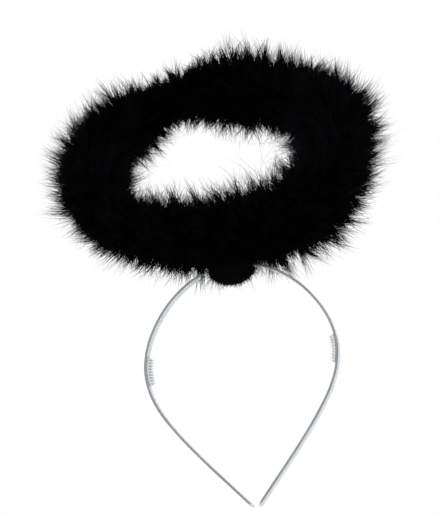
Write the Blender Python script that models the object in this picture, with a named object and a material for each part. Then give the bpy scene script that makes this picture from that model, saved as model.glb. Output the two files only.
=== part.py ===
"""Halo headband: a fluffy ring on a wire stem, bound to the crown of a springy clear strap.

The strap is a teardrop in the XZ plane. It has two small combs inside it. The wire ring leans back
from the crown on its stem, and a thick sleeve of down goes all the way round it.
Metres, +Z up, +X to the wearer's left, +Y to the back. The origin is the middle of the strap's
inner face at the crown, where the headband sits on a head.
"""

import math
import random

import bmesh
import bpy
from mathutils import Vector
from mathutils.geometry import interpolate_bezier

# Clearance between pieces that touch on the real object
CLEARANCE = 0.0003

# Strap: a flat springy band bent into a teardrop, with its ends almost closed
BAND_SPAN = 0.1205
BAND_DROP = 0.149
BAND_WIDTH = 0.0065
BAND_THICKNESS = 0.0016
BAND_EDGE_ROUND = 0.0005
BAND_STEP = 0.0044
TIP_GAP = 0.0020

# The strap's line from the crown down one side: share of half the span, share of the drop
BAND_LINE = (
    (0.000, 0.000),
    (0.365, 0.030),
    (0.670, 0.115),
    (0.890, 0.235),
    (0.990, 0.355),
    (0.980, 0.460),
    (0.890, 0.560),
    (0.715, 0.670),
    (0.480, 0.790),
    (0.245, 0.900),
)

# Combs: a thin base inside the strap with a row of ribs that grip the hair, the one on the +X side
# a little farther down than the other
COMB_TEETH = 9
COMB_PITCH = 0.00193
COMB_DOWN = 0.0918
COMB_STAGGER = 0.0032
COMB_WIDTH = 0.0060
COMB_BASE = 0.0010
COMB_TOOTH_HEIGHT = 0.0019
COMB_TOOTH_ROOT = 0.0013
COMB_TOOTH_TIP = 0.0005
COMB_END = 0.0006

# Wire: an oval ring with one straight stem that stands on the crown
WIRE_RADIUS = 0.0010
STEM_RADIUS = 0.0014
STEM_HEIGHT = 0.0200
STEM_SIDES = 12
RING_LONG_RADIUS = 0.084
RING_SHORT_RADIUS = 0.070
RING_TURN = math.radians(-33.0)
RING_LEAN = math.radians(55.0)
RING_STATIONS = 72

# Down sleeve: a backing round the wire with pointed locks fused to it
FLUFF_RADIUS = 0.0280
LOCK_LENGTH = 0.0085
LOCK_LENGTH_SPREAD = 0.25
LOCK_LEAN = 0.0030
LOCK_ROWS = 14
LOCK_STATIONS = 76
LOCK_TWIST = 12
SHORT_LOCK = 0.2
STRAY_SHARE = 0.06
STRAY_EXTRA = 0.0080
DOWN_SEED = 11

# The down round the ring: degrees from the ring's +X side, then how stout it is and how far it is
# pushed outwards, both as shares of the fluff radius
FLUFF_TABLE = (
    (0, 1.010, 0.02),
    (15, 1.150, 0.15),
    (30, 0.985, 0.13),
    (45, 1.005, 0.12),
    (60, 1.000, 0.05),
    (75, 1.060, 0.02),
    (90, 0.985, 0.08),
    (105, 0.775, 0.11),
    (120, 0.705, 0.04),
    (135, 0.930, -0.03),
    (150, 1.005, 0.03),
    (165, 1.000, 0.07),
    (180, 0.960, 0.07),
    (195, 0.940, 0.09),
    (210, 0.830, 0.11),
    (225, 0.840, 0.15),
    (240, 0.865, 0.10),
    (255, 0.970, 0.06),
    (270, 0.960, 0.07),
    (285, 1.050, 0.06),
    (300, 1.050, 0.10),
    (315, 1.085, 0.16),
    (330, 1.060, 0.05),
    (345, 0.980, -0.03),
)
STOUTNESS, PUSH = 1, 2

# Binding: a soft lump that ties the stem's foot to the crown
BINDING_LENGTH = 0.0290
BINDING_DEPTH = 0.0210
BINDING_HEIGHT = 0.0230
BINDING_SEGMENTS = 24
BINDING_RINGS = 14

BAND_COLOUR = (0.78, 0.82, 0.84, 0.45)
COMB_COLOUR = (0.74, 0.77, 0.79, 0.55)
WIRE_COLOUR = (0.42, 0.42, 0.44, 1.0)
DOWN_COLOUR = (0.006, 0.006, 0.009, 1.0)
BINDING_COLOUR = (0.010, 0.010, 0.012, 1.0)


def clear_scene():
    """Removes the objects that the scene starts with."""
    for thing in list(bpy.data.objects):
        bpy.data.objects.remove(thing, do_unlink=True)


def new_collection(name):
    """Makes a collection in the scene."""
    made = bpy.data.collections.new(name)
    bpy.context.scene.collection.children.link(made)
    return made


def new_material(name, colour, roughness, metallic=0.0):
    """Makes a plain surface with its colour, roughness and metallic value."""
    made = bpy.data.materials.new(name)
    made.use_nodes = True
    surface = made.node_tree.nodes["Principled BSDF"]
    surface.inputs["Base Color"].default_value = colour
    surface.inputs["Roughness"].default_value = roughness
    surface.inputs["Metallic"].default_value = metallic
    surface.inputs["Alpha"].default_value = colour[3]
    made.diffuse_color = colour
    return made


def keep(thing, collection):
    """Moves an object into the given collection alone."""
    for held in list(thing.users_collection):
        held.objects.unlink(thing)
    collection.objects.link(thing)
    return thing


def object_from(bm, name, collection, material=None):
    """Turns a bmesh into a smooth-shaded object with its faces outward."""
    bmesh.ops.recalc_face_normals(bm, faces=bm.faces)
    mesh = bpy.data.meshes.new(name)
    bm.to_mesh(mesh)
    bm.free()
    mesh.shade_smooth()
    mesh.set_sharp_from_angle(angle=math.radians(40))
    made = bpy.data.objects.new(name, mesh)
    collection.objects.link(made)
    if material:
        mesh.materials.append(material)
    return made


def as_cutter(thing, cutters):
    """Hides an object that only cuts or joins another."""
    thing.hide_render = True
    thing.display_type = "WIRE"
    return keep(thing, cutters)


def boolean(target, tool, operation):
    """Adds an exact Boolean step to an object."""
    step = target.modifiers.new(operation.lower() + " " + tool.name, "BOOLEAN")
    step.operation = operation
    step.object = tool
    step.solver = "EXACT"


def mesh_of_curve(thing, name, collection, material=None):
    """Replaces a curve object with its welded mesh, in the same place."""
    bpy.context.view_layer.update()
    evaluated = thing.evaluated_get(bpy.context.evaluated_depsgraph_get())
    mesh = bpy.data.meshes.new_from_object(evaluated)
    place = thing.matrix_world.copy()
    bpy.data.objects.remove(thing, do_unlink=True)
    bm = bmesh.new()
    bm.from_mesh(mesh)
    bpy.data.meshes.remove(mesh)
    bmesh.ops.remove_doubles(bm, verts=bm.verts, dist=0.00001)
    made = object_from(bm, name, collection, material)
    made.matrix_world = place
    return made


def smooth_line(knots, samples=24):
    """Gives close points on a smooth line through the knots, whose ends run straight."""
    first = knots[0] * 2 - knots[1]
    last = knots[-1] * 2 - knots[-2]
    padded = [first, *knots, last]
    line = [knots[0]]
    for before, start, end, after in zip(padded, padded[1:], padded[2:], padded[3:]):
        handle_out = start + (end - before) / 6
        handle_in = end - (after - start) / 6
        line += interpolate_bezier(start, handle_out, handle_in, end, samples)[1:]
    return line


class Route:
    """A line that can be asked for its point and direction at a distance along it."""

    def __init__(self, points):
        self.points = points
        self.at = [0.0]
        for start, end in zip(points, points[1:]):
            self.at.append(self.at[-1] + (end - start).length)
        self.length = self.at[-1]

    def point(self, distance):
        """The point at a distance from the start."""
        distance = min(max(distance, 0.0), self.length)
        index = 1
        while index < len(self.at) - 1 and self.at[index] < distance:
            index += 1
        start, end = self.points[index - 1], self.points[index]
        share = (distance - self.at[index - 1]) / (self.at[index] - self.at[index - 1])
        return start.lerp(end, share)

    def direction(self, distance):
        """The unit direction of travel at a distance from the start."""
        reach = BAND_STEP / 4
        ahead = self.point(distance + reach)
        behind = self.point(distance - reach)
        return (ahead - behind).normalized()


def band_route():
    """The strap's middle line, from the tip on the -X side over the crown to the other tip."""
    half_span = (BAND_SPAN - BAND_THICKNESS) / 2
    crown = BAND_THICKNESS / 2
    drop = BAND_DROP - crown
    side = [Vector((x * half_span, 0, crown - z * drop)) for x, z in BAND_LINE]
    side.append(Vector(((TIP_GAP + BAND_THICKNESS) / 2, 0, crown - drop)))
    other = [Vector((-p.x, 0, p.z)) for p in reversed(side[1:])]
    return Route(smooth_line(other + side))


def strap_section(half_width, half_thickness, round_off):
    """A rectangle with round corners: pairs of offsets across the strap and through it."""
    round_off = min(round_off, half_width * 0.9, half_thickness * 0.9)
    corners = ((1, 1, 0), (-1, 1, 90), (-1, -1, 180), (1, -1, 270))
    section = []
    for across, through, start in corners:
        for turn in (0, 45, 90):
            angle = math.radians(start + turn)
            section.append(
                (
                    across * (half_width - round_off) + round_off * math.cos(angle),
                    through * (half_thickness - round_off) + round_off * math.sin(angle),
                )
            )
    return section


def strap_stops(length):
    """Distances of the strap's sections: close together at the round tips, then even."""
    end = BAND_WIDTH / 2
    tip = [end * (1 - math.cos(math.radians(a))) for a in (0, 18, 36, 54, 72, 90)]
    count = round((length - 2 * end) / BAND_STEP)
    middle = [end + (length - 2 * end) * i / count for i in range(1, count)]
    return tip + middle + [length - d for d in reversed(tip)]


def strap_width_share(distance, length):
    """Share of the full width at a distance along the strap, less at the round tips."""
    end = BAND_WIDTH / 2
    from_tip = min(distance, length - distance)
    if from_tip >= end:
        return 1.0
    left = 1 - from_tip / end
    return max(0.30, math.sqrt(1 - left * left))


def strap_mesh(route, extra=0.0):
    """The strap's solid, grown by extra on every side."""
    bm = bmesh.new()
    rings = []
    for stop in strap_stops(route.length):
        along = route.direction(stop)
        outward = along.cross(Vector((0, 1, 0)))
        share = strap_width_share(stop, route.length)
        centre = route.point(stop)
        section = strap_section(
            BAND_WIDTH / 2 * share + extra,
            BAND_THICKNESS / 2 + extra,
            BAND_EDGE_ROUND,
        )
        rings.append(
            [bm.verts.new(centre + Vector((0, y, 0)) + outward * n) for y, n in section]
        )
    skin_rings(bm, rings)
    bm.faces.new(rings[0])
    bm.faces.new(list(reversed(rings[-1])))
    return bm


def skin_rings(bm, rings):
    """Joins each ring of points to the next one with four-sided faces."""
    for near, far in zip(rings, rings[1:]):
        for i in range(len(near)):
            bm.faces.new((near[i - 1], near[i], far[i], far[i - 1]))


def make_headband(route, parts, material):
    """The clear strap."""
    return object_from(strap_mesh(route), "headband", parts, material)


def comb_outline(route, side):
    """A comb's outline beside the strap's inner face, on the +X side or on the -X side."""
    middle = route.length / 2 + side * COMB_DOWN + COMB_STAGGER / 2
    half_row = COMB_PITCH * (COMB_TEETH - 1) / 2
    half_comb = half_row + COMB_TOOTH_ROOT / 2 + COMB_END
    seat = BAND_THICKNESS / 2 + CLEARANCE
    floor = seat + COMB_BASE

    def beside(distance, depth):
        along = route.direction(distance)
        inward = Vector((0, 1, 0)).cross(along)
        place = route.point(distance) + inward * depth
        return place.x, place.z

    back = [middle + half_comb * (2 * i / 10 - 1) for i in range(11)]
    outline = [beside(distance, seat) for distance in back]
    outline.append(beside(middle + half_comb, floor))
    for i in reversed(range(COMB_TEETH)):
        tooth = middle - half_row + COMB_PITCH * i
        top = floor + COMB_TOOTH_HEIGHT
        outline.append(beside(tooth + COMB_TOOTH_ROOT / 2, floor))
        outline.append(beside(tooth + COMB_TOOTH_TIP / 2, top))
        outline.append(beside(tooth - COMB_TOOTH_TIP / 2, top))
        outline.append(beside(tooth - COMB_TOOTH_ROOT / 2, floor))
    outline.append(beside(middle - half_comb, floor))
    return outline


def make_comb(route, side, name, parts, material):
    """A comb: its outline in the strap's plane, as thick as the comb is wide."""
    curve = bpy.data.curves.new(name, "CURVE")
    curve.dimensions = "2D"
    curve.fill_mode = "BOTH"
    curve.extrude = COMB_WIDTH / 2
    outline = comb_outline(route, side)
    spline = curve.splines.new("POLY")
    spline.points.add(len(outline) - 1)
    for point, (x, z) in zip(spline.points, outline):
        point.co = (x, z, 0, 1)
    spline.use_cyclic_u = True
    drawn = bpy.data.objects.new(name + " outline", curve)
    drawn.rotation_euler = (math.pi / 2, 0, 0)
    parts.objects.link(drawn)
    return mesh_of_curve(drawn, name, parts, material)


class Ring:
    """The leaning oval that the wire follows, held by its lowest point over the crown."""

    def __init__(self):
        self.back = Vector((0, math.cos(RING_LEAN), math.sin(RING_LEAN)))
        self.normal = Vector((1, 0, 0)).cross(self.back)
        rise = RING_LONG_RADIUS * math.sin(RING_TURN)
        sink = RING_SHORT_RADIUS * math.cos(RING_TURN)
        self.lowest = math.atan2(-sink, -rise)
        self.centre = Vector((0, 0, 0))
        held = Vector((0, 0, BAND_THICKNESS + STEM_HEIGHT))
        self.centre = held - self.point(self.lowest)

    def in_plane(self, turn):
        """A point's two coordinates in the ring's plane."""
        long_way = RING_LONG_RADIUS * math.cos(turn)
        short_way = RING_SHORT_RADIUS * math.sin(turn)
        x = long_way * math.cos(RING_TURN) - short_way * math.sin(RING_TURN)
        v = long_way * math.sin(RING_TURN) + short_way * math.cos(RING_TURN)
        return x, v

    def point(self, turn):
        """The point of the oval at a turn of its parameter."""
        x, v = self.in_plane(turn)
        return self.centre + Vector((x, 0, 0)) + self.back * v

    def direction(self, turn):
        """The unit direction of travel at a turn of its parameter."""
        step = 0.001
        return (self.point(turn + step) - self.point(turn - step)).normalized()

    def bearing(self, turn):
        """Degrees round the ring's plane from its +X side."""
        x, v = self.in_plane(turn)
        return math.degrees(math.atan2(v, x)) % 360

    def turns(self, count):
        """Even turns all the way round, from the lowest point."""
        return [self.lowest + 2 * math.pi * i / count for i in range(count)]


def fluff_share(bearing, column):
    """A share of the fluff radius at a bearing, read smoothly from a column of the table."""
    count = len(FLUFF_TABLE)
    spot = bearing / 360 * count
    index = int(spot)
    share = spot - index
    before, start, end, after = (
        FLUFF_TABLE[(index + k) % count][column] for k in (-1, 0, 1, 2)
    )
    slope_out = (end - before) / 2
    slope_in = (after - start) / 2
    square, cube = share * share, share * share * share
    return (
        start * (2 * cube - 3 * square + 1)
        + slope_out * (cube - 2 * square + share)
        + end * (3 * square - 2 * cube)
        + slope_in * (cube - square)
    )


def wire_solid(ring, name, grown, collection, cutters, material=None):
    """The oval wire and its stem as one solid, grown on every side."""
    turns = ring.turns(RING_STATIONS)
    curve = bpy.data.curves.new(name + " line", "CURVE")
    curve.dimensions = "3D"
    curve.bevel_depth = WIRE_RADIUS + grown
    curve.bevel_resolution = 2
    spline = curve.splines.new("POLY")
    spline.points.add(len(turns) - 1)
    for point, turn in zip(spline.points, turns):
        point.co = (*ring.point(turn), 1)
    spline.use_cyclic_u = True
    drawn = bpy.data.objects.new(name + " line", curve)
    collection.objects.link(drawn)
    wire = mesh_of_curve(drawn, name, collection, material)

    foot = BAND_THICKNESS + CLEARANCE - grown
    top = BAND_THICKNESS + STEM_HEIGHT
    boolean(wire, upright_stem(name + " stem", grown, foot, top, cutters), "UNION")
    return wire


def upright_stem(name, grown, bottom, top, cutters):
    """A hidden cylinder like the stem, grown all round, between two heights."""
    bpy.ops.mesh.primitive_cylinder_add(
        vertices=STEM_SIDES,
        radius=STEM_RADIUS + grown,
        depth=top - bottom,
        location=(0, 0, (top + bottom) / 2),
    )
    made = bpy.context.object
    made.name = name
    return as_cutter(made, cutters)


def ring_of_points(bm, ring, turn, radius, first):
    """A circle of points about the wire at one turn, its first point at an angle.

    Its middle is pushed away from the wire as the table says.
    """
    side = ring.direction(turn).cross(ring.normal)
    pushed = FLUFF_RADIUS * fluff_share(ring.bearing(turn), PUSH)
    centre = ring.point(turn) + side * pushed
    points = []
    for i in range(LOCK_ROWS):
        angle = first + 2 * math.pi * i / LOCK_ROWS
        offset = side * math.cos(angle) + ring.normal * math.sin(angle)
        points.append(bm.verts.new(centre + offset * radius))
    return points


def sleeve_mesh(ring):
    """The down sleeve: a closed backing round the ring, drawn out into locks that wind about it."""
    bm = bmesh.new()
    skin = []
    for i, turn in enumerate(ring.turns(LOCK_STATIONS)):
        backing = FLUFF_RADIUS * fluff_share(ring.bearing(turn), STOUTNESS) - LOCK_LENGTH
        wound = 2 * math.pi * LOCK_TWIST / LOCK_ROWS * i / LOCK_STATIONS
        skin.append(ring_of_points(bm, ring, turn, backing, wound))
    start = [skin[0][(i + LOCK_TWIST) % LOCK_ROWS] for i in range(LOCK_ROWS)]
    skin_rings(bm, [*skin, start])
    draw_locks(bm, ring)
    return bm


def in_binding(place):
    """Whether a place lies in the binding or in the narrow room left round it."""
    room = CLEARANCE * 4
    x = place.x / (BINDING_LENGTH / 2 + room)
    y = place.y / (BINDING_DEPTH / 2 + room)
    z = (place.z - BAND_THICKNESS / 2) / (BINDING_HEIGHT / 2 + room)
    return x * x + y * y + z * z < 1


def under_crown(place):
    """Whether a place lies in the strap's width, below the crown."""
    return abs(place.y) < BAND_WIDTH / 2 + CLEARANCE * 4 and place.z < BAND_THICKNESS


def is_parted(start, tip):
    """Whether a lock from start to tip would be cut in two by the binding or the strap."""
    places = [start.lerp(tip, i / 8) for i in range(9)]
    through_strap = any(under_crown(p) for p in places) and not under_crown(tip)
    return through_strap or any(in_binding(p) for p in places)


def draw_locks(bm, ring):
    """Draws each face of the backing out into a pointed lock, a few of the outer ones longer.

    A lock that the binding or the strap would part stays short.
    """
    chance = random.Random(DOWN_SEED)
    bmesh.ops.recalc_face_normals(bm, faces=bm.faces)
    faces = list(bm.faces)
    tips = []
    for face in faces:
        middle = face.calc_center_median()
        outside = face.normal.dot((middle - ring.centre).normalized())
        length = LOCK_LENGTH * (1 + chance.uniform(-1, 1) * LOCK_LENGTH_SPREAD)
        if outside > 0.3 and chance.random() < STRAY_SHARE:
            length += STRAY_EXTRA
        lean = Vector([chance.uniform(-LOCK_LEAN, LOCK_LEAN) for _ in range(3)])
        tip = middle + face.normal * length + lean
        if is_parted(middle, tip):
            tip = middle + face.normal * LOCK_LENGTH * SHORT_LOCK
        tips.append(tip)
    poked = bmesh.ops.poke(bm, faces=faces)
    for vertex, tip in zip(poked["verts"], tips):
        vertex.co = tip


def strap_block(route, cutters):
    """A hidden block filling the strap's outline, so that the down sits on the strap."""
    grown = CLEARANCE * 2
    stops = strap_stops(route.length)
    curve = bpy.data.curves.new("strap block line", "CURVE")
    curve.dimensions = "2D"
    curve.fill_mode = "BOTH"
    curve.extrude = BAND_WIDTH / 2 + grown
    spline = curve.splines.new("POLY")
    spline.points.add(len(stops) - 1)
    for point, stop in zip(spline.points, stops):
        outward = route.direction(stop).cross(Vector((0, 1, 0)))
        place = route.point(stop) + outward * (BAND_THICKNESS / 2 + grown)
        point.co = (place.x, place.z, 0, 1)
    spline.use_cyclic_u = True
    drawn = bpy.data.objects.new("strap block line", curve)
    drawn.rotation_euler = (math.pi / 2, 0, 0)
    cutters.objects.link(drawn)
    return as_cutter(mesh_of_curve(drawn, "strap block", cutters), cutters)


def lump(name, grown, collection, material=None):
    """The binding's egg shape about the crown, grown on every side."""
    bm = bmesh.new()
    bmesh.ops.create_uvsphere(bm, u_segments=BINDING_SEGMENTS, v_segments=BINDING_RINGS, radius=1.0)
    half = (
        BINDING_LENGTH / 2 + grown,
        BINDING_DEPTH / 2 + grown,
        BINDING_HEIGHT / 2 + grown,
    )
    bmesh.ops.scale(bm, vec=half, verts=bm.verts)
    bmesh.ops.translate(bm, vec=(0, 0, BAND_THICKNESS / 2), verts=bm.verts)
    return object_from(bm, name, collection, material)


def make_binding(route, parts, cutters, material):
    """The lump round the crown, open where the strap and the stem go through."""
    binding = lump("binding", 0.0, parts, material)
    tunnel = object_from(strap_mesh(route, CLEARANCE), "strap tunnel", cutters)
    boolean(binding, as_cutter(tunnel, cutters), "DIFFERENCE")
    hole = upright_stem("stem hole", CLEARANCE, BAND_THICKNESS / 2, BINDING_HEIGHT, cutters)
    boolean(binding, hole, "DIFFERENCE")
    return binding


def make_down(ring, route, parts, cutters, material):
    """The down sleeve, with room for the wire and for the strap and binding that nestle into it."""
    down = object_from(sleeve_mesh(ring), "halo_down", parts, material)
    bore = wire_solid(ring, "wire room", CLEARANCE, cutters, cutters)
    boolean(down, as_cutter(bore, cutters), "DIFFERENCE")
    boolean(down, strap_block(route, cutters), "DIFFERENCE")
    room = as_cutter(lump("binding room", CLEARANCE * 2, cutters), cutters)
    boolean(down, room, "DIFFERENCE")
    return down


def main():
    """Builds the headband."""
    clear_scene()
    parts = new_collection("halo headband")
    cutters = new_collection("cutters")
    clear_plastic = new_material("clear plastic", BAND_COLOUR, 0.18)
    comb_plastic = new_material("comb plastic", COMB_COLOUR, 0.25)
    steel = new_material("steel wire", WIRE_COLOUR, 0.35, 1.0)
    black_down = new_material("black down", DOWN_COLOUR, 0.95)
    black_cloth = new_material("black cloth", BINDING_COLOUR, 0.85)

    route = band_route()
    ring = Ring()
    make_headband(route, parts, clear_plastic)
    make_comb(route, 1, "comb_left", parts, comb_plastic)
    make_comb(route, -1, "comb_right", parts, comb_plastic)
    wire_solid(ring, "halo_wire", 0.0, parts, cutters, steel)
    make_binding(route, parts, cutters, black_cloth)
    make_down(ring, route, parts, cutters, black_down)


main()
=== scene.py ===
"""Looks of a halo headband: a ring of black down on a wire stem, tied to a springy clear strap.

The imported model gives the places. The down, the knot, the strap and the combs are built finer here
and stand for their solids. The wire stays as it is and gets its steel.
Metres, +Z up, +X to the wearer's left, +Y to the back. The origin is on the strap's inner face
at the crown.
"""

from __future__ import annotations

import logging
import math
from dataclasses import dataclass, field
from enum import Enum
from typing import Any

import bpy
import numpy as np
from mathutils import Matrix, Vector
from mathutils.geometry import interpolate_bezier

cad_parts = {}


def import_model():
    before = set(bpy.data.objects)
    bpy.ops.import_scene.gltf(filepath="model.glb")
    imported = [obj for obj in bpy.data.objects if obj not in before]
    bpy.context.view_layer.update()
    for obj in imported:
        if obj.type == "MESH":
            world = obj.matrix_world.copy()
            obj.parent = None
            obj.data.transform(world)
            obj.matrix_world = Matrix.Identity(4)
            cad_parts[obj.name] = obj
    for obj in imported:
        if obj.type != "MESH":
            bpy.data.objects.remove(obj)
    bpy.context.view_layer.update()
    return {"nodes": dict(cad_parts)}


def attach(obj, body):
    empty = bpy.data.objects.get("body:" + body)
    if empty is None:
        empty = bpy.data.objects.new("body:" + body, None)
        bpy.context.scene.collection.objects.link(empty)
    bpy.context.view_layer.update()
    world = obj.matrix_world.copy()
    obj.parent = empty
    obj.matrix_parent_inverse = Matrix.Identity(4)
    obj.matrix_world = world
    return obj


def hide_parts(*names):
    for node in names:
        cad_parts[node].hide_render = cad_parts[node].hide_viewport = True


LOG = logging.getLogger("halo headband")

# The name of the map shared by every piece that lays its own
FINISH_MAP = "OFBake"
# What a grown mesh keeps of its attributes
KEPT_LAYERS = (FINISH_MAP, "position", "material_index", "sharp_face")

Colour = tuple[float, float, float]
Setting = dict[str, Any]


class Side(Enum):
    """Which side of the wearer's head a comb is on."""

    LEFT = 1
    RIGHT = -1


class BarbKind(Enum):
    """Shapes of barb, as pairs of place along it and thickness there."""

    STRAIGHT = ((0.0, 1.0),)
    BENT = ((0.0, 1.0), (0.35, 0.85), (0.70, 0.55))
    WISP = ((0.0, 1.0), (0.2, 0.95), (0.4, 0.85), (0.6, 0.75), (0.8, 0.55))


class Flow:
    """One output of a node, on which Python's operators add Math nodes."""

    def __init__(self, bench: "Bench", socket: bpy.types.NodeSocket) -> None:
        """Keeps the bench and the socket."""
        self.bench = bench
        self.socket = socket

    def _maths(self, operation: str, first: Any, second: Any = None) -> "Flow":
        """Adds a Math node of one or two values, each a Flow or a number."""
        values = {0: first} if second is None else {0: first, 1: second}
        return self.bench.flow("ShaderNodeMath", {"operation": operation}, values)

    def __add__(self, other: Any) -> "Flow":
        """This plus other."""
        return self._maths("ADD", self, other)

    def __radd__(self, other: Any) -> "Flow":
        """Other plus this."""
        return self._maths("ADD", other, self)

    def __sub__(self, other: Any) -> "Flow":
        """This less other."""
        return self._maths("SUBTRACT", self, other)

    def __mul__(self, other: Any) -> "Flow":
        """This times other."""
        return self._maths("MULTIPLY", self, other)

    def __truediv__(self, other: Any) -> "Flow":
        """This over other."""
        return self._maths("DIVIDE", self, other)

    def __rtruediv__(self, other: Any) -> "Flow":
        """Other over this."""
        return self._maths("DIVIDE", other, self)

    def __pow__(self, other: Any) -> "Flow":
        """This to the power of other."""
        return self._maths("POWER", self, other)

    def __abs__(self) -> "Flow":
        """This without its sign."""
        return self._maths("ABSOLUTE", self)

    def sine(self) -> "Flow":
        """The sine of this angle."""
        return self._maths("SINE", self)

    def ramp(self, low: float, high: float) -> "Flow":
        """A smooth rise from 0 where this is low to 1 where it is high."""
        return self.bench.flow(
            "ShaderNodeMapRange",
            {"interpolation_type": "SMOOTHSTEP"},
            {"Value": self, "From Min": low, "From Max": high},
            "Result",
        )


class Bench:
    """A node tree under construction, for a material or for geometry."""

    def __init__(self, tree: bpy.types.NodeTree) -> None:
        """Keeps the tree."""
        self.tree = tree

    @staticmethod
    def _find(sockets: Any, key: int | str) -> bpy.types.NodeSocket:
        """Finds a socket by its number, its identifier, or its name if it is enabled."""
        if isinstance(key, int):
            return sockets[key]
        named = [s for s in sockets if s.name == key and s.enabled]
        return named[0] if named else next(s for s in sockets if s.identifier == key)

    def add(
        self, kind: str, settings: Setting | None = None, values: dict | None = None
    ) -> bpy.types.Node:
        """Adds a node, sets it, and fills its sockets.

        Args:
            kind: The node's type.
            settings: Its settings by name.
            values: Its sockets by name or number, each a Flow or a value.

        Returns:
            The node.
        """
        node = self.tree.nodes.new(kind)
        for name, value in (settings or {}).items():
            setattr(node, name, value)
        for key, value in (values or {}).items():
            self._fill(self._find(node.inputs, key), value)
        return node

    def _fill(self, socket: bpy.types.NodeSocket, value: Any) -> None:
        """Links a socket to a Flow, or gives it a value."""
        if isinstance(value, Flow):
            self.tree.links.new(value.socket, socket)
        else:
            socket.default_value = value

    def flow(
        self,
        kind: str,
        settings: Setting | None = None,
        values: dict | None = None,
        output: int | str = 0,
    ) -> Flow:
        """Adds a node as add does and gives one of its outputs."""
        return Flow(self, self._find(self.add(kind, settings, values).outputs, output))

    def vector(self, operation: str, first: Any, second: Any, output: int | str = 0) -> Flow:
        """Adds a Vector Math node of two vectors."""
        settings, values = {"operation": operation}, {0: first, 1: second}
        return self.flow("ShaderNodeVectorMath", settings, values, output)

    def scaled(self, vector: Any, share: Any) -> Flow:
        """A vector times a number."""
        settings, values = {"operation": "SCALE"}, {0: vector, "Scale": share}
        return self.flow("ShaderNodeVectorMath", settings, values)

    def split(self, vector: Any) -> list[Flow]:
        """A vector's three parts."""
        node = self.add("ShaderNodeSeparateXYZ", None, {"Vector": vector})
        return [Flow(self, part) for part in node.outputs]

    def mixed(self, share: Any, first: Any, second: Any) -> Flow:
        """A colour between two, nearer the second as share rises."""
        first, second = (c if isinstance(c, Flow) else (*c, 1.0) for c in (first, second))
        values = {"Factor_Float": share, "A_Color": first, "B_Color": second}
        return self.flow("ShaderNodeMix", {"data_type": "RGBA"}, values, "Result_Color")


class Surface(Bench):
    """A new material with one Principled shader."""

    def __init__(self, name: str) -> None:
        """Makes the material and finds its shader."""
        self.material = bpy.data.materials.new(name)
        self.material.use_nodes = True
        super().__init__(self.material.node_tree)
        self.shader = self.tree.nodes["Principled BSDF"]

    def dress(self, **values: Any) -> bpy.types.Material:
        """Fills the shader's sockets.

        Args:
            **values: Socket names, with spaces as underscores, and a Flow or a value for each.

        Returns:
            The material.
        """
        for name, value in values.items():
            self._fill(self._find(self.shader.inputs, name.replace("_", " ")), value)
        return self.material

    def place(self) -> Flow:
        """Object coordinates."""
        return self.flow("ShaderNodeTexCoord", output="Object")

    def finish_map(self) -> list[Flow]:
        """The piece's own map, across and upwards."""
        return self.split(self.flow("ShaderNodeUVMap", {"uv_map": FINISH_MAP}))[:2]

    def noise(self, size: float, detail: float = 3.0) -> Flow:
        """Smooth noise whose lumps are about size metres across."""
        values = {"Vector": self.place(), "Scale": 1.0 / size, "Detail": detail}
        return self.flow("ShaderNodeTexNoise", None, values, "Fac")

    def bump(self, height: Flow, depth: float) -> Flow:
        """A normal from a height of 0 to 1 that stands for depth metres."""
        return self.flow("ShaderNodeBump", None, {"Height": height, "Distance": depth}, "Normal")


@dataclass(frozen=True)
class DownFinish:
    """Black down: deep at the root and a little greyer and bluer towards the barb's tip."""

    root_colour: Colour = (0.0004, 0.0003, 0.0010)
    tip_colour: Colour = (0.0055, 0.0055, 0.0085)
    tone_spread: float = 0.8
    grey_from: float = 0.45
    roughness: float = 0.80
    rough_spread: float = 0.2
    shine: float = 0.03

    def material(self, name: str) -> bpy.types.Material:
        """Makes the material. Its map holds each barb's own tone across and its length upwards."""
        surface = Surface(name)
        tone, along = surface.finish_map()
        grey = along.ramp(self.grey_from, 1.0) * (1.0 - self.tone_spread + tone * self.tone_spread)
        return surface.dress(
            Base_Color=surface.mixed(grey, self.root_colour, self.tip_colour),
            Roughness=self.roughness + (tone - 0.5) * self.rough_spread,
            Specular_IOR_Level=self.shine,
        )


@dataclass(frozen=True)
class PileFinish:
    """The deep ground that the barbs stand in, mottled and matt."""

    dark: Colour = (0.0006, 0.0006, 0.0009)
    light: Colour = (0.0030, 0.0030, 0.0042)
    mottle: float = 0.0035
    mottle_band: tuple[float, float] = (0.35, 0.7)
    pile: float = 0.0007
    roughness: float = 0.85
    rough_spread: float = 0.15
    shine: float = 0.02
    depth: float = 0.0006

    def material(self, name: str) -> bpy.types.Material:
        """Makes the material."""
        surface = Surface(name)
        mottle = surface.noise(self.mottle).ramp(*self.mottle_band)
        pile = surface.noise(self.pile, detail=2.0)
        return surface.dress(
            Base_Color=surface.mixed(mottle, self.dark, self.light),
            Roughness=self.roughness + pile * self.rough_spread,
            Specular_IOR_Level=self.shine,
            Normal=surface.bump(pile, self.depth),
        )


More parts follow.
